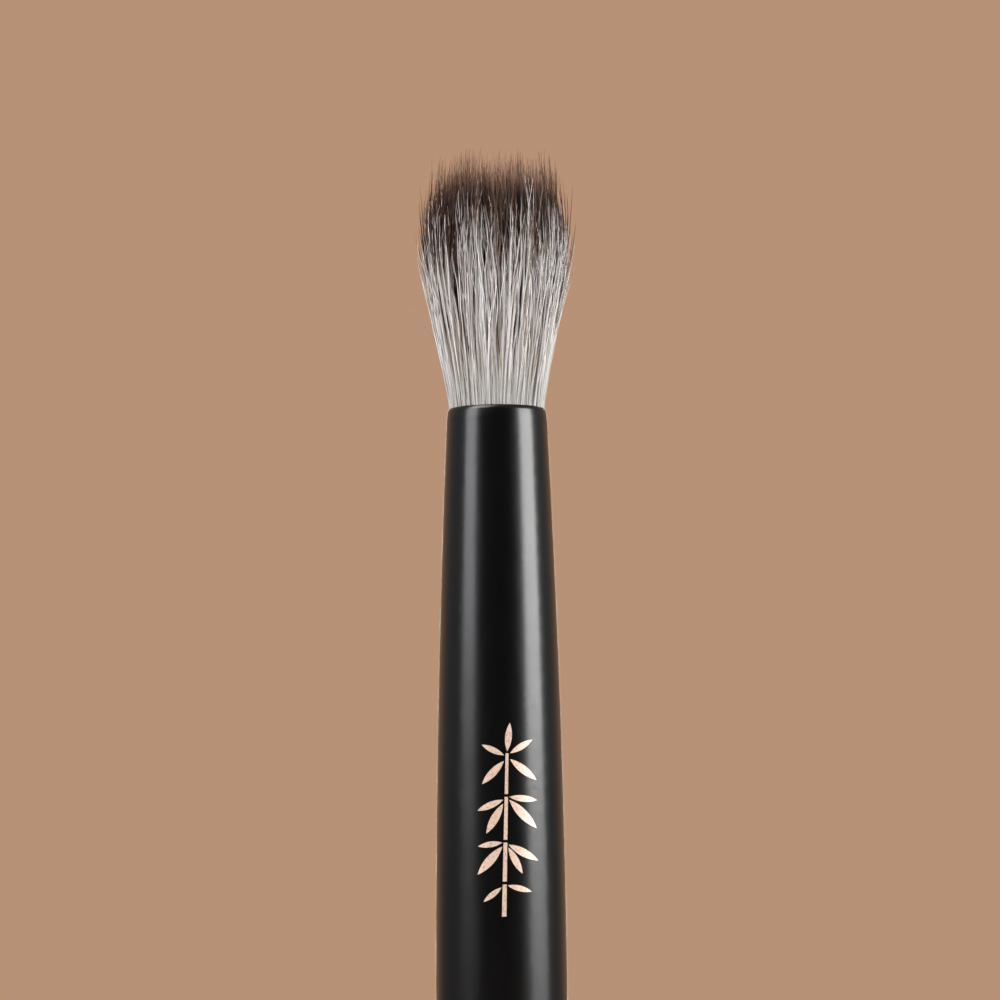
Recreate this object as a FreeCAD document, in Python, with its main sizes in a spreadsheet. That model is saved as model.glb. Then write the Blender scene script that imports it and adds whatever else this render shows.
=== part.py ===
import FreeCAD, Part
import math
import os
import re
import Sketcher

# A calligraphy brush standing on its tail with the hair pointing up (+Z).
# The origin is the centre of the hanging hole in the tail cap; +X is to the
# right of the printed sprig and -Y is the side the sprig faces.
# Every length is in millimetres and every angle in degrees.

SIZES = [
    # name, value, what it is
    ("mouth_level", 199.0, "height of the sleeve's mouth above the hanging hole"),
    ("seam_drop", 65.0, "mouth down to the seam between sleeve and shaft"),
    ("waist_radius", 6.5, "thickest radius of the handle, at the seam"),
    ("neck_radius", 5.0, "outer radius of the sleeve just under its rolled rim"),
    ("neck_drop", 1.5, "mouth down to the neck"),
    ("rim_bore", 4.64, "radius of the bore at the mouth"),
    ("crest_radius", 4.7, "radius of the rim's highest line"),
    ("crest_chamfer", 0.06, "drop from the rim's crest to the bore's edge"),
    ("rim_radius", 4.9, "radius where the rolled rim turns into the neck"),
    ("rim_drop", 0.4, "mouth down to that turn"),
    ("rim_centre_drop", 0.44, "mouth down to the centre of the rim's rounding"),
    ("seam_bore", 5.4, "radius of the bore at the seam"),
    ("bevel", 0.12, "bevel on the edges that meet at a seam"),
    ("tenon_drop", 22.0, "mouth down to the top of the shaft's tenon"),
    ("film", 0.15, "thickness of a glue film"),
    ("grip_level", 92.0, "height at which a hand holds the shaft"),
    ("throat_level", 50.0, "height at which the shaft has become slim"),
    ("tail_level", 9.0, "height of the seam between shaft and tail cap"),
    ("tail_radius", 3.9, "radius of the handle at the tail cap"),
    ("spigot_radius", 2.2, "radius of the shaft's spigot inside the tail cap"),
    ("spigot_end", 2.5, "height of the spigot's lower end"),
    ("tail_drop", 6.0, "hanging hole down to the flat tail end"),
    ("tail_shoulder", 2.0, "hanging hole down to where the cap starts to round in"),
    ("tail_flat", 2.4, "radius of the flat tail end"),
    ("hole_radius", 1.1, "radius of the hanging hole"),
    ("hole_edge", 0.2, "rounding of the hanging hole's edges"),
    ("ball_radius", 4.35, "radius of the rounded foot of the free hair"),
    ("core_foot", 1.5, "radius of the core hairs at their foot"),
    ("belly_foot", 3.1, "radius of the belly hairs at their foot"),
    ("core_top", 2.6, "radius of the core hairs at their tips"),
    ("belly_top", 4.7, "radius of the belly hairs at their tips"),
    ("core_height", 24.9, "length of the free core hairs"),
    ("belly_height", 24.6, "length of the free belly hairs"),
    ("mantle_height", 24.3, "length of the free mantle hairs"),
    ("clear_angle", 32.0, "slope below which the free hair keeps to its ball"),
    ("collar_radius", 5.0, "radius of the mantle where it leaves the ball"),
    ("collar_height", 3.6, "height of that point above the mouth"),
    ("bloom_radius", 7.3, "widest radius of the mantle"),
    ("bloom_height", 16.0, "height of the widest point above the mouth"),
    ("tip_radius", 6.2, "radius of the mantle at its blunt tips"),
    ("root_radius", 4.25, "radius of the gripped hair root"),
    ("root_top", 4.7, "mouth down to the top of the gripped root"),
    ("root_end", 17.0, "mouth down to the end of the gripped root"),
    ("plug_end", 19.5, "mouth down to the end of the fused root plug"),
    ("plug_bevel", 0.6, "bevel around the end of the root plug"),
    ("skirt_top", 17.5, "mouth down to the top of the glue bed's skirt"),
    ("thread_radius", 0.21, "radius of the binding thread"),
    ("thread_pitch", 0.4, "spacing of the binding's turns"),
    ("thread_turns", 5, "number of turns in the binding"),
    ("thread_start", 16.6, "mouth down to the lowest turn"),
    ("foil_thickness", 0.05, "thickness of the stamped foil"),
    ("sprig_top", 31.5, "mouth down to the top of the sprig"),
    ("sprig_height", 19.0, "height of the sprig"),
    ("sprig_shift", 0.55, "distance of the sprig to the right of the middle"),
    ("sprig_lean", 0.5, "sideways drift of the stem over the sprig's height"),
    ("stem_top_width", 0.26, "width of the sprig's stem at the top"),
    ("stem_foot_width", 0.44, "width of the sprig's stem at the foot"),
    ("leaf_gap", 0.3, "distance of a leaf's foot from the stem's middle line"),
    ("leaf_length", 3.9, "length of a full leaf"),
    ("leaf_width", 0.9, "width of a full leaf"),
]

doc = FreeCAD.newDocument("CalligraphyBrush")
sheet = doc.addObject("Spreadsheet::Sheet", "Sizes")
for row, (name, value, note) in enumerate(SIZES, start=1):
    sheet.set("A%d" % row, name)
    sheet.set("B%d" % row, str(value))
    sheet.set("C%d" % row, note)
    sheet.setAlias("B%d" % row, name)
doc.recompute()

SIZE_NAMES = {name for name, _, _ in SIZES}
HINGE = "mouth_level"
SEAM = "mouth_level - seam_drop"


def linked(expression):
    """Turn size names into references to the sheet."""
    def link(word):
        return "Sizes." + word.group() if word.group() in SIZE_NAMES else word.group()

    return re.sub(r"[a-z_]+", link, expression)


def number(expression):
    """Present value of an expression in sheet sizes."""
    return float(sheet.evalExpression(linked(expression)))


def below(drop):
    """Height of a point a given drop below the mouth."""
    return "mouth_level - (%s)" % drop


def above(rise):
    """Height of a point a given rise above the mouth."""
    return "mouth_level + %s" % rise


def bore(drop):
    """Radius of the sleeve's tapered bore a given drop below the mouth."""
    share = "(%s - crest_chamfer) / (seam_drop - crest_chamfer)" % drop
    return "(rim_bore + (seam_bore - rim_bore) * %s)" % share


def on_shaft(level):
    """Radius of the shaft's long curve, one circle through both its ends, at a given height."""
    fall = "(%s - tail_level - 2 * bevel)" % SEAM
    centre = "(tail_radius ^ 2 - waist_radius ^ 2 + %s ^ 2) / (2 * (tail_radius - waist_radius))" % fall
    return "%s + sqrt((waist_radius - %s) ^ 2 - (%s - bevel - %s) ^ 2)" % (centre, centre, SEAM, level)


def on_ball(radius):
    """Height of the hair's rounded foot at a given radius."""
    return "mouth_level - sqrt(ball_radius ^ 2 - %s ^ 2)" % radius


def new_body(label):
    body = doc.addObject("PartDesign::Body", label)
    body.Label = label
    return body


def origin_plane(body, role):
    return [item for item in body.Origin.OriginFeatures if item.Role == role][0]


def new_sketch(body, name, role):
    sketch = body.newObject("Sketcher::SketchObject", name)
    sketch.AttachmentSupport = [(origin_plane(body, role), "")]
    sketch.MapMode = "FlatFace"
    return sketch


def bind(sketch, kind, geometry, point, expression):
    """Fix one coordinate of a sketch point to an expression, measured from the origin."""
    value = number(expression)
    index = sketch.addConstraint(Sketcher.Constraint(kind, -1, 1, geometry, point, value))
    sketch.setExpression("Constraints[%d]" % index, linked(expression))


def arc_between(start, end, centre_level):
    """Arc from start to end, the short way round, whose centre is at a given height."""
    (x0, z0), (x1, z1) = start, end
    shift0 = z0 - centre_level
    shift1 = z1 - centre_level
    centre_x = (x1 ** 2 - x0 ** 2 + shift1 ** 2 - shift0 ** 2) / (2 * (x1 - x0))
    radius = math.hypot(x0 - centre_x, shift0)
    angle0 = math.atan2(shift0, x0 - centre_x)
    angle1 = math.atan2(shift1, x1 - centre_x)
    forwards = angle1 > angle0
    circle = Part.Circle(FreeCAD.Vector(centre_x, centre_level, 0), FreeCAD.Vector(0, 0, 1), radius)
    arc = Part.ArcOfCircle(circle, min(angle0, angle1), max(angle0, angle1))
    return arc, forwards


def outline(sketch, corners):
    """Closed outline through corners (radius, height, centre of the arc to the next or None)."""
    spots = [(number(radius), number(height)) for radius, height, _ in corners]
    ends = []
    for index, (_, _, centre_level) in enumerate(corners):
        start = spots[index]
        end = spots[(index + 1) % len(spots)]
        if centre_level is None:
            first = FreeCAD.Vector(start[0], start[1], 0)
            second = FreeCAD.Vector(end[0], end[1], 0)
            line = sketch.addGeometry(Part.LineSegment(first, second), False)
            ends.append((line, 1, 2))
        else:
            arc, forwards = arc_between(start, end, number(centre_level))
            curve = sketch.addGeometry(arc, False)
            ends.append((curve, 1, 2) if forwards else (curve, 2, 1))
    for index, (geometry, _, last) in enumerate(ends):
        following, first, _ = ends[(index + 1) % len(ends)]
        joint = Sketcher.Constraint("Coincident", geometry, last, following, first)
        sketch.addConstraint(joint)
    for (radius, height, centre_level), (geometry, first, _) in zip(corners, ends):
        if number(radius) == 0:
            sketch.addConstraint(Sketcher.Constraint("PointOnObject", geometry, first, -2))
        else:
            bind(sketch, "DistanceX", geometry, first, radius)
        bind(sketch, "DistanceY", geometry, first, height)
        if centre_level is not None:
            bind(sketch, "DistanceY", geometry, 3, centre_level)


def turned(label, corners):
    """Body turned about the brush's axis from a closed outline."""
    body = new_body(label)
    sketch = new_sketch(body, label + "_outline", "XZ_Plane")
    outline(sketch, corners)
    turn = body.newObject("PartDesign::Revolution", label + "_turn")
    turn.Profile = sketch
    turn.ReferenceAxis = (sketch, ["V_Axis"])
    turn.Angle = 360
    doc.recompute()
    return body


# ---------------------------------------------------------------- handle
def make_sleeve():
    """Thin-walled tapered sleeve with a rolled rim that grips the hair root."""
    return turned("sleeve", [
        ("rim_bore", below("crest_chamfer"), None),
        ("crest_radius", HINGE, below("rim_centre_drop")),
        ("rim_radius", below("rim_drop"), below("neck_drop")),
        ("neck_radius", below("neck_drop"), SEAM + " + bevel"),
        ("waist_radius", SEAM + " + bevel", None),
        ("waist_radius - bevel", SEAM, None),
        ("seam_bore", SEAM, None),
    ])


def make_shaft():
    """Wooden shaft with a tenon for the sleeve and a spigot for the tail cap."""
    return turned("shaft", [
        ("0", below("tenon_drop"), None),
        (bore("tenon_drop") + " - film", below("tenon_drop"), None),
        ("seam_bore - film", SEAM, None),
        ("waist_radius - bevel", SEAM, None),
        ("waist_radius", SEAM + " - bevel", SEAM + " - bevel"),
        (on_shaft("grip_level"), "grip_level", SEAM + " - bevel"),
        (on_shaft("throat_level"), "throat_level", SEAM + " - bevel"),
        ("tail_radius", "tail_level + bevel", None),
        ("tail_radius - bevel", "tail_level", None),
        ("spigot_radius", "tail_level", None),
        ("spigot_radius", "spigot_end", None),
        ("0", "spigot_end", None),
    ])


def make_tenon_glue():
    """Film of glue between the shaft's tenon and the sleeve's bore."""
    return turned("tenon_glue", [
        (bore("tenon_drop") + " - film", below("tenon_drop"), None),
        (bore("tenon_drop"), below("tenon_drop"), None),
        ("seam_bore", SEAM, None),
        ("seam_bore - film", SEAM, None),
    ])


def is_hole_mouth(edge, radius):
    """Whether an edge goes round a cross hole through the origin where it meets the outside."""
    box = edge.BoundBox
    beside_hole = box.ZMax < 1.5 * radius and box.ZMin > -1.5 * radius
    goes_round = box.XLength > radius and box.YLength < radius
    return beside_hole and goes_round


def make_tail_cap():
    """Rounded end cap with a cross hole for a hanging loop."""
    body = turned("tail_cap", [
        ("spigot_radius + film", "tail_level", None),
        ("spigot_radius + film", "spigot_end", None),
        ("0", "spigot_end", None),
        ("0", "- tail_drop", None),
        ("tail_flat", "- tail_drop", "- tail_shoulder"),
        ("tail_radius", "- tail_shoulder", None),
        ("tail_radius", "tail_level - bevel", None),
        ("tail_radius - bevel", "tail_level", None),
    ])
    uncut = body.Shape.Volume
    sketch = new_sketch(body, "hanging_hole", "XZ_Plane")
    middle = FreeCAD.Vector(0, 0, 0)
    circle = Part.Circle(middle, FreeCAD.Vector(0, 0, 1), number("hole_radius"))
    sketch.addGeometry(circle, False)
    sketch.addConstraint(Sketcher.Constraint("Coincident", 0, 3, -1, 1))
    index = sketch.addConstraint(Sketcher.Constraint("Radius", 0, number("hole_radius")))
    sketch.setExpression("Constraints[%d]" % index, linked("hole_radius"))
    pocket = body.newObject("PartDesign::Pocket", "hanging_hole_cut")
    pocket.Profile = sketch
    pocket.Type = 1
    pocket.Midplane = True
    doc.recompute()
    if not body.Shape.Volume < uncut - 1:
        raise RuntimeError("the hanging hole did not cut the tail cap")
    mouths = [
        "Edge%d" % (index + 1)
        for index, edge in enumerate(body.Shape.Edges)
        if is_hole_mouth(edge, number("hole_radius"))
    ]
    rounding = body.newObject("PartDesign::Fillet", "hanging_hole_edges")
    rounding.Base = (pocket, mouths)
    rounding.setExpression("Radius", linked("hole_edge"))
    doc.recompute()
    return body


def make_cap_glue():
    """Film of glue between the shaft's spigot and the tail cap's socket."""
    return turned("cap_glue", [
        ("spigot_radius", "spigot_end", None),
        ("spigot_radius + film", "spigot_end", None),
        ("spigot_radius + film", "tail_level", None),
        ("spigot_radius", "tail_level", None),
    ])


# ---------------------------------------------------------------- free hair
def make_core_hairs():
    """Stiffer hairs in the middle of the tuft."""
    return turned("core_hairs", [
        ("0", "mouth_level - ball_radius", HINGE),
        ("core_foot", on_ball("core_foot"), None),
        ("core_top", above("core_height"), None),
        ("0", above("core_height"), None),
    ])


def make_belly_hairs():
    """Hairs that surround the core and hold the ink."""
    return turned("belly_hairs", [
        ("core_foot", on_ball("core_foot"), HINGE),
        ("belly_foot", on_ball("belly_foot"), None),
        ("belly_top", above("belly_height"), None),
        ("core_top", above("belly_height"), None),
    ])


def make_mantle_hairs():
    """Outer coat of pale hair, narrow at the mouth and widest near its blunt tips."""
    slope = "clear_angle * 1 deg"
    return turned("mantle_hairs", [
        ("belly_foot", on_ball("belly_foot"), HINGE),
        ("ball_radius * cos(%s)" % slope, above("ball_radius * sin(%s)" % slope), None),
        ("collar_radius", above("collar_height"), above("bloom_height")),
        ("bloom_radius", above("bloom_height"), above("bloom_height")),
        ("tip_radius", above("mantle_height"), None),
        ("belly_top", above("mantle_height"), None),
    ])


# ---------------------------------------------------------------- gripped root
def make_hair_root():
    """Lower end of all the hairs, pressed together inside the sleeve."""
    return turned("hair_root", [
        ("0", below("root_top"), None),
        ("root_radius", below("root_top"), None),
        ("root_radius", below("root_end"), None),
        ("0", below("root_end"), None),
    ])


def make_root_binding():
    """Turns of thread tied round the hair root, each touching the next."""
    body = new_body("root_binding")
    sketch = new_sketch(body, "thread_section", "XZ_Plane")
    radius = number("thread_radius")
    middle = FreeCAD.Vector(number("root_radius + thread_radius"), number(below("thread_start")), 0)
    sketch.addGeometry(Part.Circle(middle, FreeCAD.Vector(0, 0, 1), radius), False)
    bind(sketch, "DistanceX", 0, 3, "root_radius + thread_radius")
    bind(sketch, "DistanceY", 0, 3, below("thread_start"))
    index = sketch.addConstraint(Sketcher.Constraint("Radius", 0, radius))
    sketch.setExpression("Constraints[%d]" % index, linked("thread_radius"))
    ring = body.newObject("PartDesign::Revolution", "thread_turn")
    ring.Profile = sketch
    ring.ReferenceAxis = (sketch, ["V_Axis"])
    ring.Angle = 360
    doc.recompute()
    turns = body.newObject("PartDesign::LinearPattern", "thread_turns_row")
    turns.Originals = [ring]
    turns.Direction = (origin_plane(body, "Z_Axis"), [""])
    turns.setExpression("Length", linked("thread_pitch * (thread_turns - 1)"))
    turns.setExpression("Occurrences", linked("thread_turns"))
    body.Tip = turns
    doc.recompute()
    return body


def make_root_plug():
    """Resin-fused end of the hair bundle."""
    return turned("root_plug", [
        ("0", below("root_end"), None),
        ("root_radius", below("root_end"), None),
        ("root_radius", below("plug_end - plug_bevel"), None),
        ("root_radius - plug_bevel", below("plug_end"), None),
        ("0", below("plug_end"), None),
    ])


def make_glue_bed():
    """Cup of set glue between the root plug, the sleeve and the end of the tenon."""
    return turned("glue_bed", [
        ("0", below("tenon_drop"), None),
        (bore("tenon_drop"), below("tenon_drop"), None),
        (bore("skirt_top"), below("skirt_top"), None),
        ("root_radius", below("skirt_top"), None),
        ("root_radius", below("plug_end - plug_bevel"), None),
        ("root_radius - plug_bevel", below("plug_end"), None),
        ("0", below("plug_end"), None),
    ])


# ---------------------------------------------------------------- foil sprig
LEAF_BELLY = 0.42     # share of a leaf's length at which it is widest

STEM_LENGTHS = [
    # upper and lower end of each length of stem, as shares of the sprig's height from its top
    (0.16, 0.37),
    (0.385, 0.605),
    (0.62, 0.82),
    (0.835, 1.0),
]

LEAVES = [
    # side of the stem (-1 left, 1 right), share of the height, angle from straight up, scale
    (0, 0.15, 6, 0.72),
    (-1, 0.17, -64, 0.62),
    (1, 0.16, 58, 0.66),
    (1, 0.19, 128, 0.84),
    (-1, 0.20, -136, 0.80),
    (1, 0.385, 96, 0.70),
    (1, 0.40, 136, 0.98),
    (-1, 0.40, -112, 0.70),
    (-1, 0.42, -150, 0.86),
    (-1, 0.62, -98, 0.62),
    (-1, 0.64, -138, 0.94),
    (1, 0.63, 118, 0.84),
    (1, 0.645, 152, 0.74),
    (1, 0.84, 104, 0.62),
    (-1, 0.85, -128, 0.58),
]


def sprig_spot(share, side=0):
    """Point at a share of the sprig's height below its top, on the stem or beside it."""
    across = number("sprig_shift - sprig_lean * (%s - 0.5)" % share)
    level = number(below("sprig_top + sprig_height * %s" % share))
    return FreeCAD.Vector(across + side * number("leaf_gap"), 0, level)


def leaf_face(root, angle, scale):
    """Pointed leaf in the XZ plane, growing from root at an angle from straight up."""
    length = number("leaf_length") * scale
    half_width = number("leaf_width") * scale / 2
    along = FreeCAD.Vector(math.sin(math.radians(angle)), 0, math.cos(math.radians(angle)))
    across = FreeCAD.Vector(along.z, 0, -along.x)
    tip = root + along * length
    belly = root + along * (LEAF_BELLY * length)
    right = Part.Arc(root, belly + across * half_width, tip).toShape()
    left = Part.Arc(tip, belly - across * half_width, root).toShape()
    return Part.Face(Part.Wire([right, left]))


def stem_face(upper, lower):
    """Tapered length of stem in the XZ plane between two shares of the sprig's height."""
    corners = []
    for share, turn in ((lower, -1), (lower, 1), (upper, 1), (upper, -1)):
        width = number("stem_top_width + (stem_foot_width - stem_top_width) * %s" % share)
        corners.append(sprig_spot(share) + FreeCAD.Vector(turn * width / 2, 0, 0))
    return Part.Face(Part.makePolygon(corners + corners[:1]))


def make_foil_sprig():
    """Bamboo sprig stamped in foil on the front of the sleeve."""
    skin = turned("foil_skin", [
        ("neck_radius", below("neck_drop"), SEAM + " + bevel"),
        ("waist_radius", SEAM + " + bevel", None),
        ("waist_radius + foil_thickness", SEAM + " + bevel", SEAM + " + bevel"),
        ("neck_radius + foil_thickness", below("neck_drop"), None),
    ])
    faces = [stem_face(upper, lower) for upper, lower in STEM_LENGTHS]
    for side, share, angle, scale in LEAVES:
        faces.append(leaf_face(sprig_spot(share, side), angle, scale))
    forwards = FreeCAD.Vector(0, -2 * number("waist_radius"), 0)
    bars = [face.extrude(forwards) for face in faces]
    prism = doc.addObject("Part::Feature", "sprig_prism")
    prism.Shape = bars[0].multiFuse(bars[1:])
    sprig = doc.addObject("Part::Common", "foil_sprig")
    sprig.Base = skin
    sprig.Tool = prism
    sprig.Label = "foil_sprig"
    doc.recompute()
    return sprig


PARTS = [
    make_sleeve(),
    make_shaft(),
    make_tenon_glue(),
    make_tail_cap(),
    make_cap_glue(),
    make_core_hairs(),
    make_belly_hairs(),
    make_mantle_hairs(),
    make_hair_root(),
    make_root_binding(),
    make_root_plug(),
    make_glue_bed(),
    make_foil_sprig(),
]

doc.recompute()
for item in doc.Objects:
    if "Invalid" in item.State or "Error" in item.State:
        raise RuntimeError("%s did not compute" % item.Label)

os.makedirs("parts", exist_ok=True)
for piece in PARTS:
    if piece.Shape.isNull() or not piece.Shape.isValid():
        raise RuntimeError("%s has no valid shape" % piece.Label)
    piece.Shape.exportStep("parts/%s.step" % piece.Label)
    print(piece.Label, len(piece.Shape.Solids), round(piece.Shape.Volume, 3))
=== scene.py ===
import math

import bpy
import numpy as np
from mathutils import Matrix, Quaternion, Vector


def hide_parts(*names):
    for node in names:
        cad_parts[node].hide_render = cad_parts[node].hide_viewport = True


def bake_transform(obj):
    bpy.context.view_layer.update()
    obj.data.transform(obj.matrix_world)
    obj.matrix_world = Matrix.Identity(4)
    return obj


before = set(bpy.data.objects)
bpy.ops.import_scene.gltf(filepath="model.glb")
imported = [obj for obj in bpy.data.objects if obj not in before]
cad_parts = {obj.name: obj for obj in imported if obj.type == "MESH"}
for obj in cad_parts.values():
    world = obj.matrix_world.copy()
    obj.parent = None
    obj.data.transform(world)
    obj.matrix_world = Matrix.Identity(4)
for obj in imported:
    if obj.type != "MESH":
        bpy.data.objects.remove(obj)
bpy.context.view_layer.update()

MM = 0.001
MOUTH = 199.0 * MM            # height of the sleeve's mouth
TAIL = -6.0 * MM              # height of the tail end


# ------------------------------------------------------------ material help
def node_material(name):
    """New material, returned with its node tree and its Principled shader."""
    material = bpy.data.materials.new(name)
    material.use_nodes = True
    tree = material.node_tree
    shader = tree.nodes["Principled BSDF"]
    return material, tree, shader


def add(tree, kind, **settings):
    """New node of a kind with its settings."""
    node = tree.nodes.new(kind)
    for key, value in settings.items():
        setattr(node, key, value)
    return node


def feed(tree, socket, value):
    """Link an input to another socket, or set it to a number or an RGB triple."""
    if isinstance(value, bpy.types.NodeSocket):
        tree.links.new(value, socket)
    elif isinstance(value, tuple):
        socket.default_value = (*value, 1.0)
    else:
        socket.default_value = value


def maths(tree, operation, *values):
    """Math node whose inputs are sockets or numbers; returns its output."""
    node = add(tree, "ShaderNodeMath", operation=operation)
    for socket, value in zip(node.inputs, values):
        feed(tree, socket, value)
    return node.outputs[0]


def smooth_step(tree, value, low, high):
    """0 below low and 1 above high; the limits may be sockets."""
    node = add(tree, "ShaderNodeMapRange", interpolation_type="SMOOTHSTEP")
    feed(tree, node.inputs["Value"], value)
    feed(tree, node.inputs["From Min"], low)
    feed(tree, node.inputs["From Max"], high)
    return node.outputs["Result"]


def mixed(tree, factor, first, second):
    """Colour mix; factor is a socket, the colours are sockets or RGB triples."""
    node = add(tree, "ShaderNodeMix", data_type="RGBA")
    tree.links.new(factor, node.inputs["Factor"])
    first_colour, second_colour = node.inputs[6], node.inputs[7]
    feed(tree, first_colour, first)
    feed(tree, second_colour, second)
    return node.outputs[2]


def noise(tree, scale, detail=3.0, roughness=0.5, stretch=None):
    """Noise over the object's own coordinates, optionally stretched."""
    coordinates = add(tree, "ShaderNodeTexCoord").outputs["Object"]
    if stretch is not None:
        mapping = add(tree, "ShaderNodeMapping")
        mapping.inputs["Scale"].default_value = stretch
        tree.links.new(coordinates, mapping.inputs["Vector"])
        coordinates = mapping.outputs["Vector"]
    texture = add(tree, "ShaderNodeTexNoise")
    texture.inputs["Scale"].default_value = scale
    texture.inputs["Detail"].default_value = detail
    texture.inputs["Roughness"].default_value = roughness
    tree.links.new(coordinates, texture.inputs["Vector"])
    return texture.outputs["Fac"]


def bump(tree, shader, height, distance, strength):
    """Relief of a depth in metres that follows a height socket."""
    node = add(tree, "ShaderNodeBump")
    node.inputs["Strength"].default_value = strength
    node.inputs["Distance"].default_value = distance
    tree.links.new(height, node.inputs["Height"])
    tree.links.new(node.outputs["Normal"], shader.inputs["Normal"])


def ranged(tree, value, low, high):
    """Value from 0..1 spread over low..high."""
    return maths(tree, "MULTIPLY_ADD", value, high - low, low)


# ------------------------------------------------------------ materials
def lacquer_material(name, tint):
    """Deep black lacquer: almost black, polished, with faint haze and waviness."""
    material, tree, shader = node_material(name)
    haze = noise(tree, 160.0, detail=4.0, stretch=(1.0, 1.0, 0.25))
    deep = tuple(0.55 * channel for channel in tint)
    tree.links.new(mixed(tree, haze, deep, tint), shader.inputs["Base Color"])
    grain = noise(tree, 900.0, detail=2.0, stretch=(1.0, 1.0, 0.2))
    tree.links.new(ranged(tree, grain, 0.22, 0.28), shader.inputs["Roughness"])
    shader.inputs["IOR"].default_value = 1.5
    bump(tree, shader, noise(tree, 260.0, detail=1.5, stretch=(1.0, 1.0, 0.35)), 0.00003, 0.12)
    return material


def foil_material():
    """Rose-gold foil, speckled where the stamp lifted."""
    material, tree, shader = node_material("rose_gold_foil")
    speckle = noise(tree, 5200.0, detail=3.0, roughness=0.7)
    worn = smooth_step(tree, speckle, 0.34, 0.50)
    colour = mixed(tree, worn, (0.62, 0.38, 0.28), (0.92, 0.70, 0.57))
    tree.links.new(colour, shader.inputs["Base Color"])
    tree.links.new(ranged(tree, speckle, 0.30, 0.60), shader.inputs["Roughness"])
    shader.inputs["Metallic"].default_value = 0.40
    bump(tree, shader, speckle, 0.00002, 0.5)
    return material


def thread_material():
    """Undyed waxed thread with a fine twist."""
    material, tree, shader = node_material("waxed_thread")
    twist = noise(tree, 2600.0, detail=3.0, stretch=(1.0, 1.0, 2.0))
    colour = mixed(tree, twist, (0.46, 0.39, 0.27), (0.72, 0.65, 0.50))
    tree.links.new(colour, shader.inputs["Base Color"])
    shader.inputs["Roughness"].default_value = 0.7
    shader.inputs["Sheen Weight"].default_value = 0.3
    bump(tree, shader, twist, 0.00006, 0.7)
    return material


def glue_material(name, thin, thick, rough):
    """Set glue or resin: amber, a little cloudy, softly glossy."""
    material, tree, shader = node_material(name)
    cloud = noise(tree, 420.0, detail=4.0)
    tree.links.new(mixed(tree, cloud, thin, thick), shader.inputs["Base Color"])
    tree.links.new(ranged(tree, cloud, rough, rough + 0.2), shader.inputs["Roughness"])
    bump(tree, shader, noise(tree, 900.0, detail=2.0), 0.00005, 0.4)
    return material


def bound_hair_material():
    """Pale hair pressed tight, with fine lengthwise streaks."""
    material, tree, shader = node_material("bound_hair")
    streak = noise(tree, 2400.0, detail=3.0, stretch=(1.0, 1.0, 0.03))
    colour = mixed(tree, streak, (0.30, 0.26, 0.20), (0.78, 0.75, 0.69))
    tree.links.new(colour, shader.inputs["Base Color"])
    shader.inputs["Roughness"].default_value = 0.55
    bump(tree, shader, streak, 0.0001, 0.8)
    return material


# A hair's kind is a number from 0 to 1: first white hairs, then hairs that turn dark, then brown hairs.
HAIR_KINDS = 512              # number of differently coloured hairs
SECOND_LOTTERY = 977.0        # added to a kind's column to draw its second random number
HAIR_SPAN = 25.5 * MM         # height above the mouth that the hair's colours are spread over
WHITE_KINDS = 0.13            # kinds below this are white up to the tip
BROWN_KINDS = 0.90            # kinds above this are brown from low down
WHITE_RANGE = (0.0, 0.125)    # kinds dealt out to white hairs
BANDED_RANGE = (0.14, 0.89)   # kinds dealt out to hairs that turn dark
BROWN_RANGE = (0.905, 0.995)  # kinds dealt out to brown hairs
# Heights below are shares of the span.
FIRST_BAND, LAST_BAND = 0.73, 0.37  # where hairs of the lowest and the highest kind turn dark
BAND_WIDTH = 0.11
BAND_SCATTER = 0.06
WHITE_BAND_RISE = 0.50        # lifts the dark band out of the white hairs
BROWN_BAND_DROP = -0.31       # brings it close to the root in the brown hairs
TIP_START, TIP_END = 0.79, 0.94     # where a dark hair turns to its tip colour
COOL_WHITE = (0.78, 0.79, 0.83)
WARM_WHITE = (0.88, 0.83, 0.76)
GREY_WHITE = (0.34, 0.315, 0.305)
DUSTY_WHITE = (0.44, 0.41, 0.385)
AMBER = (0.30, 0.225, 0.165)
ROOT_GREY = (0.50, 0.51, 0.50)
TURNING_TAN = (0.25, 0.14, 0.078)
DARKEST_BROWN = (0.010, 0.005, 0.004)
DARK_BROWN = (0.112, 0.050, 0.026)
BROWN_TIP = (0.115, 0.052, 0.030)
TAN_TIP = (0.44, 0.26, 0.175)


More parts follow.
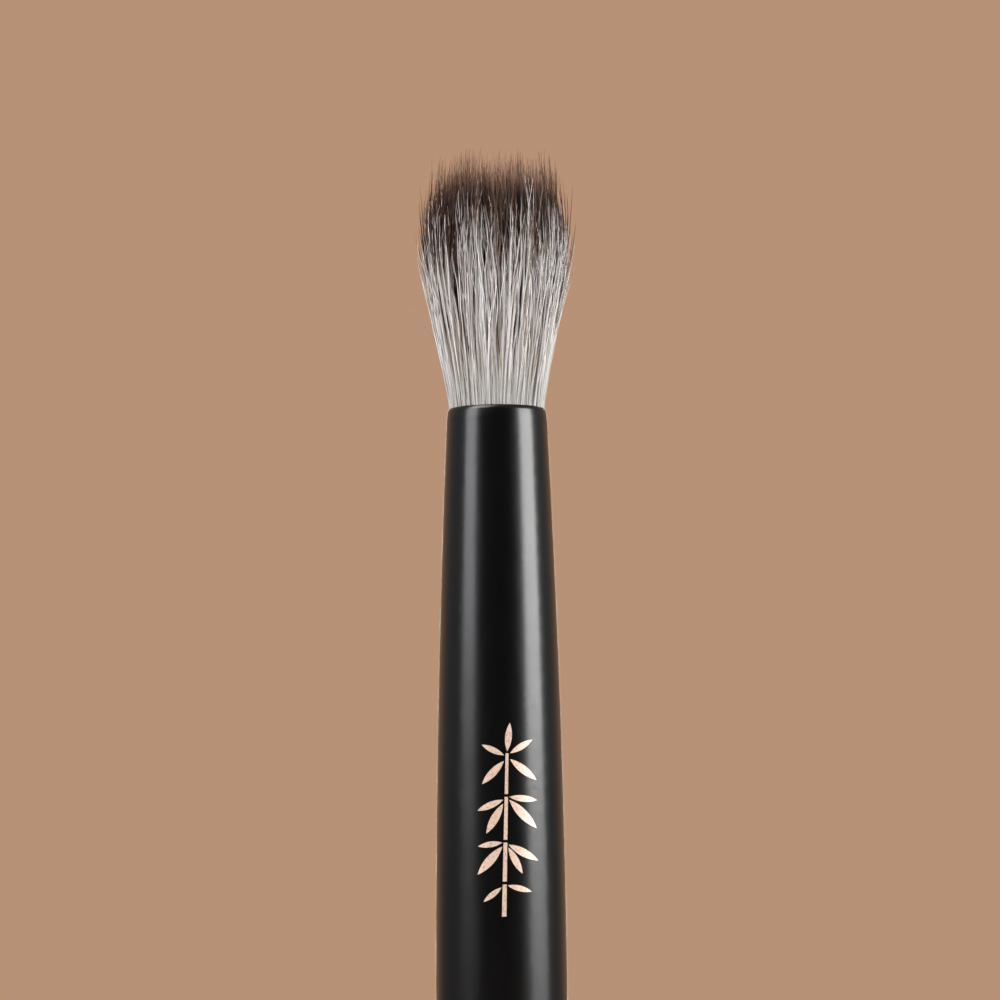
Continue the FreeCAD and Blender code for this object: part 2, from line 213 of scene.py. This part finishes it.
def hair_material():
    """Hair coloured by its map: the hair's kind lies across it, the height above the mouth up it."""
    material, tree, shader = node_material("brush_hair")
    uv = add(tree, "ShaderNodeUVMap", uv_map="OFBake")
    split = add(tree, "ShaderNodeSeparateXYZ")
    tree.links.new(uv.outputs["UV"], split.inputs["Vector"])
    kind, height = split.outputs["X"], split.outputs["Y"]

    column = maths(tree, "FLOOR", maths(tree, "MULTIPLY", kind, float(HAIR_KINDS)))
    chances = []
    for seed in (column, maths(tree, "ADD", column, SECOND_LOTTERY)):
        lottery = add(tree, "ShaderNodeTexWhiteNoise", noise_dimensions="1D")
        tree.links.new(seed, lottery.inputs["W"])
        chances.append(lottery.outputs["Value"])
    chance, chance_two = chances

    # Mottling that runs along each hair and differs from hair to hair.
    along = add(tree, "ShaderNodeCombineXYZ")
    tree.links.new(maths(tree, "MULTIPLY", column, 3.17), along.inputs["X"])
    tree.links.new(maths(tree, "MULTIPLY", height, 9.0), along.inputs["Y"])
    mottle = add(tree, "ShaderNodeTexNoise")
    mottle.inputs["Scale"].default_value = 1.0
    mottle.inputs["Detail"].default_value = 5.0
    mottle.inputs["Roughness"].default_value = 0.65
    tree.links.new(along.outputs["Vector"], mottle.inputs["Vector"])

    # Lower part: cool or warm white, some hairs dull, a few amber, greyer at the root, dusty in places.
    pale = mixed(tree, chance, COOL_WHITE, WARM_WHITE)
    dulled = maths(tree, "MULTIPLY", smooth_step(tree, chance_two, 0.35, 0.85), 0.85)
    pale = mixed(tree, dulled, pale, GREY_WHITE)
    pale = mixed(tree, smooth_step(tree, chance_two, 0.93, 0.94), pale, AMBER)
    rooted = maths(tree, "MULTIPLY_ADD", smooth_step(tree, height, 0.03, 0.24), -0.7, 0.7)
    pale = mixed(tree, rooted, pale, ROOT_GREY)
    pale = mixed(tree, smooth_step(tree, mottle.outputs["Fac"], 0.45, 0.80), pale, DUSTY_WHITE)

    # Upper part: the higher the kind, the lower the hair turns dark.
    dark = mixed(tree, chance_two, DARKEST_BROWN, DARK_BROWN)
    white_hair = maths(tree, "LESS_THAN", kind, WHITE_KINDS)
    brown_hair = maths(tree, "GREATER_THAN", kind, BROWN_KINDS)
    band_start = ranged(tree, kind, FIRST_BAND, LAST_BAND)
    for share, shift in ((white_hair, WHITE_BAND_RISE), (brown_hair, BROWN_BAND_DROP),
                         (chance, BAND_SCATTER)):
        band_start = maths(tree, "MULTIPLY_ADD", share, shift, band_start)
    band_end = maths(tree, "ADD", band_start, BAND_WIDTH)
    banded = smooth_step(tree, height, band_start, band_end)
    hair = mixed(tree, banded, pale, dark)
    # A tan tinge halfway through the turn: 1.7 * banded * (1 - banded).
    turning = maths(tree, "MULTIPLY", banded, maths(tree, "MULTIPLY_ADD", banded, -1.7, 1.7))
    hair = mixed(tree, turning, hair, TURNING_TAN)

    tip = mixed(tree, smooth_step(tree, chance, 0.35, 1.0), BROWN_TIP, TAN_TIP)
    tipped = maths(tree, "MULTIPLY", smooth_step(tree, height, TIP_START, TIP_END), banded)
    hair = mixed(tree, tipped, hair, tip)
    tree.links.new(hair, shader.inputs["Base Color"])
    tree.links.new(ranged(tree, mottle.outputs["Fac"], 0.34, 0.50), shader.inputs["Roughness"])
    shader.inputs["Specular IOR Level"].default_value = 0.35
    return material


def paper_material():
    """Pale matte paper with faint fibres."""
    material, tree, shader = node_material("pale_paper")
    light = (0.50, 0.45, 0.405)
    darker = tuple(0.97 * channel for channel in light)
    fibre = noise(tree, 60.0, detail=5.0)
    tree.links.new(mixed(tree, fibre, darker, light), shader.inputs["Base Color"])
    shader.inputs["Roughness"].default_value = 0.9
    return material


def flag_material():
    """Dead black cloth."""
    material, _, shader = node_material("black_flag")
    shader.inputs["Base Color"].default_value = (0.0, 0.0, 0.0, 1.0)
    shader.inputs["Specular IOR Level"].default_value = 0.0
    return material


def dress(node, material):
    """Put a material on a CAD node's slots."""
    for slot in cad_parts[node].material_slots:
        slot.link = "DATA"
        slot.material = material


# ------------------------------------------------------------ hair
# Lengths in this section are in mm, heights count from the sleeve's mouth, and places across the
# tuft are shares of the outline's radius until the paths are made.
HAIR_SIDES = 4
HAIR_RINGS = 18
ROOT_HEIGHT = -1.6            # where the single hairs begin, inside the sleeve
TUFT_LENGTH = 23.3            # usual height of the tips
HIGHEST_TIP = 25.3            # no hair reaches higher
OVERSHOOT = 2.2               # no hair rises farther than this above the usual tips of its crop
EDGE_DROP = 1.2               # how much lower the tips stand at the tuft's edge
TIP_SCATTER, EDGE_SCATTER = 0.60, 0.75      # scatter of single tips, and what the edge adds
LOCK_SCATTER, BUNCH_SCATTER = 0.85, 0.75    # scatter that the tips of a lock or a bunch share
SHORTER = (0.5, 7.5)          # how much shorter the short hairs are

SWAY_HEIGHT = 24.0            # height at which a hair has its full lean
LOCK_PULL = (0.30, 0.90)      # how far hairs draw together into their lock
LOCK_FOOT, LOCK_RISE = 1.0, 16.0            # a lock starts to close here and is closed this much higher
BUNCH_PULL = (0.05, 0.36)     # how far locks draw together into their bunch
HAIR_LEAN, LOCK_LEAN, BUNCH_LEAN = 0.036, 0.030, 0.022
UNRULY_SHARE, UNRULY_LEAN = 0.20, 3.0       # share of hairs that lean this many times as far
CRINKLED_SHARE = 0.14
SMOOTH_WAVE, CRINKLED_WAVE = 0.45, 1.6      # strength of the fine waves in smooth and crinkled hairs
TIP_CURL = 0.042
CURL_START, CURL_SPAN = 0.72, 0.28          # shares of the length: where the curl starts, and its own
LOOSE_REACH = 0.05            # usual distance that a hair may stand outside its crop
LOOSE_SHARE, LOOSE_EXTRA = 0.05, 0.09       # share of hairs that may stand farther out, by this much
LOCK_TUCK, TUCK_RISE = 0.062, 17.0          # how far locks sink into the tuft, fully from this height
FLARE_START = 9.0             # short hairs of a flaring crop stand out from here
SHORT_TIP, SHORT_SPAN = 20.0, 3.0           # tips below this are short, fully so this much lower

TAPER_START, TAPER_SPAN = 0.55, 0.45        # shares of the length: where the taper starts, and its own
TAPER_LOSS = 0.86             # share of the thickness that the tip has lost

# Each row: cycles over the sway height, size, and whether crinkled hairs show the wave more.
WAVES = ((0.9, 0.022, False), (2.1, 0.012, False), (4.6, 0.008, True), (7.9, 0.005, True))

OUTLINE_HEIGHTS = np.array([-4.0, 0.0, 3.0, 7.3, 11.0, 14.5, 17.0, 19.0, 21.8, 24.5, 28.0])
OUTLINE_RADII = np.array([4.45, 4.56, 5.03, 5.93, 6.52, 6.92, 7.00, 6.86, 6.62, 6.45, 6.25])


def outline_radius(height):
    """Radius of the tuft's outline, in mm, at a height in mm above the mouth."""
    smooth = sum(np.interp(height + shift, OUTLINE_HEIGHTS, OUTLINE_RADII) for shift in (-1.5, 0, 1.5))
    return np.where(height < 1.5, np.interp(height, OUTLINE_HEIGHTS, OUTLINE_RADII), smooth / 3)


def disc_points(rng, count, inner=0.0, outer=1.0):
    """Evenly spread random points of a ring, as x and y columns."""
    reach = np.sqrt(rng.uniform(inner ** 2, outer ** 2, count))
    turn = rng.uniform(0, 2 * math.pi, count)
    return np.stack([reach * np.cos(turn), reach * np.sin(turn)], axis=1)


def nearest_of(points, centres):
    """Index of the closest centre for each point."""
    return ((points[:, None, :] - centres[None, :, :]) ** 2).sum(axis=2).argmin(axis=1)


def grow(seed, count, inner, outer, lock_count, bunch_count, sway, top, short_share, flare):
    """One crop of hairs whose roots lie between two shares of the mouth's radius.

    Hairs gather in locks and locks in bunches. The sway scales lean and waves, top is the usual height
    of the tips, short_share is the share of shorter hairs, and flare is how far these stand out.
    Returns the random source, the paths, a tone that the hairs of a lock share, and how far from the
    axis each hair has its root.
    """
    rng = np.random.default_rng(seed)
    roots = disc_points(rng, count, inner, outer)
    locks = disc_points(rng, lock_count, max(inner - 0.05, 0.0), outer)
    bunches = disc_points(rng, bunch_count)
    lock = nearest_of(roots, locks)
    bunch = nearest_of(locks, bunches)[lock]
    reach = np.hypot(roots[:, 0], roots[:, 1])

    # Uneven tips, lower at the tuft's edge.
    scatter = rng.normal(0, 1, count) * (TIP_SCATTER + EDGE_SCATTER * reach ** 4)
    tops = top - EDGE_DROP * reach ** 4 + scatter
    tops += rng.normal(0, LOCK_SCATTER, lock_count)[lock] + rng.normal(0, BUNCH_SCATTER, bunch_count)[bunch]
    tops -= np.where(rng.random(count) < short_share, rng.uniform(*SHORTER, count), 0)
    tops = np.minimum(tops, min(top + OVERSHOOT, HIGHEST_TIP))
    share = np.linspace(0, 1, HAIR_RINGS) ** 0.95
    heights = ROOT_HEIGHT + (tops[:, None] - ROOT_HEIGHT) * share[None, :]
    rise = np.clip(heights / SWAY_HEIGHT, 0, 1)[..., None]

    # Hairs close into locks, and locks lean towards their bunch.
    closing = np.clip((heights[..., None] - LOCK_FOOT) / LOCK_RISE, 0, 1) ** 1.1
    gathered = rng.uniform(*LOCK_PULL, lock_count)[lock][:, None, None] * closing
    bunched = rng.uniform(*BUNCH_PULL, bunch_count)[bunch][:, None, None] * rise ** 1.4
    flat = roots[:, None, :] + (locks[lock] - roots)[:, None, :] * gathered
    flat = flat + (bunches[bunch] - locks[lock])[:, None, :] * bunched

    lean = rng.normal(0, HAIR_LEAN, (count, 2))
    lean *= rng.choice([1.0, UNRULY_LEAN], (count, 1), p=[1 - UNRULY_SHARE, UNRULY_SHARE])
    shared_lean = rng.normal(0, LOCK_LEAN, (lock_count, 2))[lock]
    lean += shared_lean + rng.normal(0, BUNCH_LEAN, (bunch_count, 2))[bunch]
    flat = flat + sway * lean[:, None, :] * rise

    # Waves, half each hair's own and half its lock's, and a curl of the tip.
    crinkle = rng.choice([SMOOTH_WAVE, CRINKLED_WAVE], (count, 1, 1), p=[1 - CRINKLED_SHARE, CRINKLED_SHARE])
    for cycles, size, crinkled in WAVES:
        own_phase = rng.uniform(0, 2 * math.pi, (count, 2))[:, None, :]
        lock_phase = rng.uniform(0, 2 * math.pi, (lock_count, 2))[lock][:, None, :]
        own = np.sin(2 * math.pi * cycles * rise + own_phase)
        shared = np.sin(2 * math.pi * cycles * rise + lock_phase)
        strength = crinkle if crinkled else 1.0
        flat = flat + sway * size * strength * rise ** 0.6 * (0.75 * own + 0.75 * shared)
    curl = rng.normal(0, TIP_CURL, (count, 1, 2))
    flat = flat + sway * curl * np.clip((share - CURL_START) / CURL_SPAN, 0, 1)[None, :, None] ** 1.5

    # Hairs that would leave the crop are brought back, apart from a loose few.
    wide = np.hypot(flat[..., 0], flat[..., 1])
    loose = np.abs(rng.normal(0, LOOSE_REACH, count))
    loose += np.where(rng.random(count) < LOOSE_SHARE, LOOSE_EXTRA, 0)
    limit = outer + loose[:, None] * rise[..., 0]
    flat = flat * np.minimum(1.0, limit / np.maximum(wide, 1e-6))[..., None]

    # From shares of the radius to mm: some locks sink into the tuft, short hairs stand out.
    spread = flare * np.clip((SHORT_TIP - tops) / SHORT_SPAN, 0, 1) * rng.uniform(0.2, 1.0, count)
    tuck = np.abs(rng.normal(0, LOCK_TUCK, lock_count))[lock]
    width = outline_radius(heights) * (1 - tuck[:, None] * np.clip(heights / TUCK_RISE, 0, 1))
    width = width + spread[:, None] * np.maximum(heights - FLARE_START, 0)
    paths = np.stack([flat[..., 0] * width, flat[..., 1] * width, heights], axis=2)
    tone = rng.normal(0, 0.10, lock_count)[lock] + rng.normal(0, 0.18, bunch_count)[bunch]
    return rng, paths, tone, reach


def hair_mesh(name, paths, radii, kinds, material):
    """One mesh of tapered tubes along the paths, with its colour map."""
    count, rings, _ = paths.shape
    tangents = np.gradient(paths, axis=1)
    tangents /= np.linalg.norm(tangents, axis=2, keepdims=True)
    side = np.cross(tangents, np.array([0.0, 1.0, 0.0]))
    side /= np.linalg.norm(side, axis=2, keepdims=True)
    other = np.cross(tangents, side)
    turns = 2 * math.pi * np.arange(HAIR_SIDES) / HAIR_SIDES
    circle = (side[:, :, None, :] * np.cos(turns)[None, None, :, None]
              + other[:, :, None, :] * np.sin(turns)[None, None, :, None])
    share = np.linspace(0, 1, rings)
    taper = 1 - TAPER_LOSS * np.clip((share - TAPER_START) / TAPER_SPAN, 0, 1) ** 1.3
    thick = radii[:, None] * taper[None, :]
    points = paths[:, :, None, :] + circle * thick[:, :, None, None]
    tips = paths[:, -1, :] + tangents[:, -1, :] * (thick[:, -1:] * 3)
    ring_points = count * rings * HAIR_SIDES
    points = np.concatenate([points.reshape(-1, 3), tips])
    points = points * MM + np.array([0, 0, MOUTH])

    # Faces: four-sided walls from ring to ring, three-sided caps up to the tip, one face at the root.
    first = np.arange(count)[:, None, None] * rings * HAIR_SIDES
    ring = np.arange(rings - 1)[None, :, None] * HAIR_SIDES
    corner = np.arange(HAIR_SIDES)[None, None, :]
    following = (corner + 1) % HAIR_SIDES
    quads = np.stack([first + ring + corner, first + ring + following,
                      first + ring + HAIR_SIDES + following, first + ring + HAIR_SIDES + corner], axis=3)
    last_ring = first[:, 0] + (rings - 1) * HAIR_SIDES
    tip_index = np.broadcast_to(ring_points + np.arange(count)[:, None], (count, HAIR_SIDES))
    caps = np.stack([last_ring + corner[0], last_ring + following[0], tip_index], axis=2)
    foot_ring = first[:, 0] + corner[0]
    quads = quads.reshape(-1, 4)
    caps = caps.reshape(-1, 3)
    feet = foot_ring[:, ::-1]

    corners = np.concatenate([quads.ravel(), caps.ravel(), feet.ravel()]).astype(np.int32)
    sizes = np.concatenate([np.full(len(quads), 4), np.full(len(caps), 3),
                            np.full(len(feet), HAIR_SIDES)])
    starts = np.concatenate([[0], np.cumsum(sizes)[:-1]]).astype(np.int32)
    mesh = bpy.data.meshes.new(name)
    mesh.vertices.add(len(points))
    mesh.vertices.foreach_set("co", points.astype(np.float32).ravel())
    mesh.loops.add(len(corners))
    mesh.loops.foreach_set("vertex_index", corners)
    mesh.polygons.add(len(sizes))
    mesh.polygons.foreach_set("loop_start", starts)
    mesh.update(calc_edges=True)
    mesh.validate()
    mesh.polygons.foreach_set("use_smooth", np.ones(len(sizes), dtype=bool))

    # The colour map: the hair's kind across, the height up.
    columns = (np.floor(np.clip(kinds, 0, 0.9999) * HAIR_KINDS) + 0.5) / HAIR_KINDS
    across = np.concatenate([np.repeat(columns, rings * HAIR_SIDES), columns])
    heights = paths[:, :, 2]
    ring_heights = np.repeat(heights.reshape(-1), HAIR_SIDES)
    up = np.concatenate([ring_heights, heights[:, -1]]) * MM / HAIR_SPAN
    loop_points = np.empty(len(mesh.loops), dtype=np.int32)
    mesh.loops.foreach_get("vertex_index", loop_points)
    layer = mesh.uv_layers.new(name="OFBake")
    places = np.stack([across[loop_points], np.clip(up[loop_points], 0.002, 0.998)], axis=1)
    layer.data.foreach_set("uv", places.astype(np.float32).ravel())

    thing = bpy.data.objects.new(name, mesh)
    bpy.context.collection.objects.link(thing)
    mesh.materials.append(material)
    return thing


def deal_brown(rng, kinds, brown_share):
    """Kinds of banded hairs, with a share of them turned brown; also tells which are brown."""
    kinds = np.clip(kinds, *BANDED_RANGE)
    brown = rng.random(len(kinds)) < brown_share
    kinds[brown] = rng.uniform(*BROWN_RANGE, brown.sum())
    return kinds, brown


def inner_crop(material):
    """The tuft's inner hairs, many of them dark, partly the hair's own brown and partly painted shade inside
    the tuft: the mantle's underside, belly and core.
    """
    count = 2900
    rng, paths, tone, reach = grow(
        seed=21, count=count, inner=0.0, outer=0.92, lock_count=480, bunch_count=80,
        sway=1.0, top=TUFT_LENGTH, short_share=0.22, flare=0.0)
    radii = rng.uniform(0.045, 0.072, count)
    # Hairs nearer the axis get darker kinds and more of them turn brown: partly the tuft's own brown hairs,
    # partly painted shade deep inside the tuft.
    kinds = 0.64 + tone + 0.25 * (1 - reach) + rng.normal(0, 0.15, count)
    kinds, _ = deal_brown(rng, kinds, 0.60)
    made = []
    for name, low, high in (("mantle_under_hair", 0.80, 1.0), ("mantle_mid_hair", 0.62, 0.80),
                            ("belly_hair", 0.34, 0.62), ("core_hair", -1.0, 0.34)):
        chosen = (reach > low) & (reach <= high)
        made.append(hair_mesh(name, paths[chosen], radii[chosen], kinds[chosen], material))
    return made


def outer_crop(material):
    """The mantle's outermost hairs: thicker, mostly pale, with dark upper ends."""
    count = 800
    rng, paths, tone, _ = grow(
        seed=24, count=count, inner=0.90, outer=1.0, lock_count=300, bunch_count=70,
        sway=1.4, top=TUFT_LENGTH + 0.8, short_share=0.55, flare=0.10)
    radii = rng.uniform(0.055, 0.090, count)
    short = paths[:, -1, 2] < 19.5
    kinds = 0.50 + tone + rng.normal(0, 0.17, count) - 0.06 * short
    kinds, brown = deal_brown(rng, kinds, 0.26)
    radii[brown] *= 0.8
    return hair_mesh("mantle_hair", paths, radii, kinds, material)


def guard_hairs(material):
    """Thick white hairs lying loosely over the mantle."""
    count = 340
    rng, paths, _, _ = grow(
        seed=22, count=count, inner=0.94, outer=1.02, lock_count=260, bunch_count=80,
        sway=1.7, top=20.4, short_share=0.40, flare=0.09)
    radii = rng.uniform(0.062, 0.104, count)
    return hair_mesh("guard_hair", paths, radii, rng.uniform(*WHITE_RANGE, count), material)


def stray_hairs(material):
    """Loose hairs that leave the tuft's outline as they rise, with a long white one at either side."""
    rng = np.random.default_rng(23)
    count, at_left, at_right = 240, 12, 10
    turns = rng.uniform(0, 2 * math.pi, count)
    turns[:at_left] = math.pi + rng.normal(0, 0.15, at_left)
    turns[at_left:at_left + at_right] = rng.normal(0, 0.15, at_right)
    leaves = rng.uniform(6.0, 14.5, count)
    tops = np.minimum(leaves + rng.uniform(5.0, 9.0, count), 22.8)
    reaches = rng.uniform(0.1, 1.30, count)
    long_left, long_right = 0, at_left
    leaves[long_left], tops[long_left], reaches[long_left] = 6.2, 10.4, 2.6
    leaves[long_right], tops[long_right], reaches[long_right] = 10.0, 14.8, 1.7

    share = np.linspace(0, 1, HAIR_RINGS)[None, :]
    heights = ROOT_HEIGHT + (tops[:, None] - ROOT_HEIGHT) * share
    gone = np.clip((heights - leaves[:, None]) / (tops - leaves)[:, None], 0, 1)
    radius = outline_radius(heights) * 0.985 + reaches[:, None] * gone ** 1.15
    swing = turns[:, None] + 0.03 * np.sin(heights * 0.7 + rng.uniform(0, 6, (count, 1)))
    paths = np.stack([radius * np.cos(swing), radius * np.sin(swing), heights], axis=2)
    kinds = rng.uniform(0.14, 0.88, count)
    kinds[[long_left, long_right]] = 0.05
    return hair_mesh("stray_hair", paths, rng.uniform(0.036, 0.088, count), kinds, material)


# ------------------------------------------------------------ dress the CAD nodes
sleeve_lacquer = lacquer_material("sleeve_lacquer", (0.0030, 0.0029, 0.0030))
shaft_lacquer = lacquer_material("shaft_lacquer", (0.0036, 0.0029, 0.0027))
glue = glue_material("amber_glue", (0.55, 0.42, 0.20), (0.72, 0.60, 0.36), 0.25)
resin = glue_material("fused_resin", (0.16, 0.07, 0.02), (0.36, 0.20, 0.08), 0.3)
dress("sleeve", sleeve_lacquer)
dress("shaft", shaft_lacquer)
dress("tail_cap", sleeve_lacquer)
dress("tenon_glue", glue)
dress("cap_glue", glue)
dress("glue_bed", glue)
dress("root_plug", resin)
dress("root_binding", thread_material())
dress("hair_root", bound_hair_material())
dress("foil_sprig", foil_material())

# ------------------------------------------------------------ the tuft
hair = hair_material()
under, middle, belly, core = inner_crop(hair)
mantle = outer_crop(hair)
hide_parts("mantle_hairs")
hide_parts("belly_hairs")
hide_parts("core_hairs")
for piece in (mantle, under, middle, belly, core, guard_hairs(hair), stray_hairs(hair)):
    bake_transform(piece)


# ------------------------------------------------------------ stage
SOFT_BOX_REACH = 0.5          # distance of the soft boxes from the brush


def plane(name, centre, normal, width, height, material):
    """Flat rectangle that faces along a direction."""
    mesh = bpy.data.meshes.new(name)
    half_w, half_h = width / 2, height / 2
    corners = [(-half_w, -half_h, 0), (half_w, -half_h, 0), (half_w, half_h, 0), (-half_w, half_h, 0)]
    mesh.from_pydata(corners, [], [(0, 1, 2, 3)])
    thing = bpy.data.objects.new(name, mesh)
    thing.rotation_mode = "QUATERNION"
    thing.rotation_quaternion = Vector(normal).to_track_quat("Z", "Y")
    thing.location = centre
    mesh.materials.append(material)
    bpy.context.collection.objects.link(thing)
    return thing


def area_light(name, place, target, width, height, power, colour):
    """Rectangular light at a place, turned to a target."""
    data = bpy.data.lights.new(name, "AREA")
    data.shape = "RECTANGLE"
    data.size, data.size_y = width, height
    data.energy = power
    data.color = colour
    lamp = bpy.data.objects.new(name, data)
    lamp.location = place
    lamp.rotation_mode = "QUATERNION"
    lamp.rotation_quaternion = (Vector(target) - Vector(place)).to_track_quat("-Z", "Y")
    bpy.context.collection.objects.link(lamp)
    return lamp


def soft_box(name, bearing, foot, width, height, radiance, colour):
    """Upright soft box beside the brush; bearing is degrees from the camera's side, positive right."""
    turn = math.radians(bearing)
    place = (SOFT_BOX_REACH * math.sin(turn), -SOFT_BOX_REACH * math.cos(turn), foot + height / 2)
    power = radiance * math.pi * width * height
    return area_light(name, place, (0, 0, place[2]), width, height, power, colour)


def paper_room():
    """World: tan paper behind the brush; greys everywhere else, darker below."""
    world = bpy.data.worlds.new("paper_room")
    world.use_nodes = True
    tree = world.node_tree
    direction = add(tree, "ShaderNodeTexCoord").outputs["Generated"]
    split = add(tree, "ShaderNodeSeparateXYZ")
    tree.links.new(direction, split.inputs["Vector"])
    behind = smooth_step(tree, split.outputs["Y"], 0.45, 0.80)
    above = smooth_step(tree, split.outputs["Z"], -0.02, 0.20)
    low_grey = (0.17, 0.165, 0.16)
    high_grey = (0.31, 0.30, 0.295)
    paper_tan = (0.475, 0.285, 0.182)
    grey = mixed(tree, above, low_grey, high_grey)
    background = tree.nodes["Background"]
    tree.links.new(mixed(tree, behind, grey, paper_tan), background.inputs["Color"])
    background.inputs["Strength"].default_value = 1.0
    return world


floor = plane("floor", (0, 0, TAIL - 0.5 * MM), (0, 0, 1), 12.0, 12.0, paper_material())
flag = plane("black_flag", (0, -1.75, 0.45), (0, 1, 0), 2.9, 2.4, flag_material())
flag.visible_camera = False
flag.visible_shadow = False
flag.visible_diffuse = False

soft_box("soft_box_right", bearing=69.5, foot=0.205, width=0.31, height=0.22,
         radiance=12.5, colour=(1.0, 1.0, 0.99))
soft_box("soft_box_right_low", bearing=72, foot=0.10, width=0.31, height=0.10,
         radiance=2.3, colour=(0.95, 0.97, 1.0))
soft_box("soft_box_left", bearing=-61, foot=0.238, width=0.235, height=0.50,
         radiance=6.4, colour=(0.95, 0.96, 1.0))
back_box = soft_box("soft_box_back", bearing=180, foot=0.0, width=0.14, height=0.42,
                    radiance=8.5, colour=(1.0, 0.98, 0.96))
back_box.visible_camera = False
area_light("top_soft", place=(-0.34, -0.30, 0.80), target=(0, 0, 0.2), width=0.5, height=0.5,
           power=4.3, colour=(1.0, 0.97, 0.94))

bpy.context.scene.world = paper_room()
bpy.context.scene.view_settings.view_transform = "Standard"

# ------------------------------------------------------------ camera
CAMERA_DISTANCE = 0.62
CAMERA_TILT = -5.5
CAMERA_ROLL = 0.49
SENSOR_WIDTH = 36.0
VIEW_WIDTH = 0.0992           # width of the view where the brush stands
LOOK_AT = Vector((0.00024, 0, MOUTH - 9.05 * MM))

camera_data = bpy.data.cameras.new("camera")
camera_data.sensor_width = SENSOR_WIDTH
camera_data.lens = SENSOR_WIDTH * CAMERA_DISTANCE / VIEW_WIDTH
camera = bpy.data.objects.new("camera", camera_data)
tilt = math.radians(CAMERA_TILT)
camera.location = LOOK_AT + Vector((0, -math.cos(tilt), math.sin(tilt))) * CAMERA_DISTANCE
camera.rotation_mode = "QUATERNION"
facing = (LOOK_AT - camera.location).to_track_quat("-Z", "Y")
camera.rotation_quaternion = facing @ Quaternion((0, 0, 1), math.radians(-CAMERA_ROLL))
bpy.context.collection.objects.link(camera)
bpy.context.scene.camera = camera
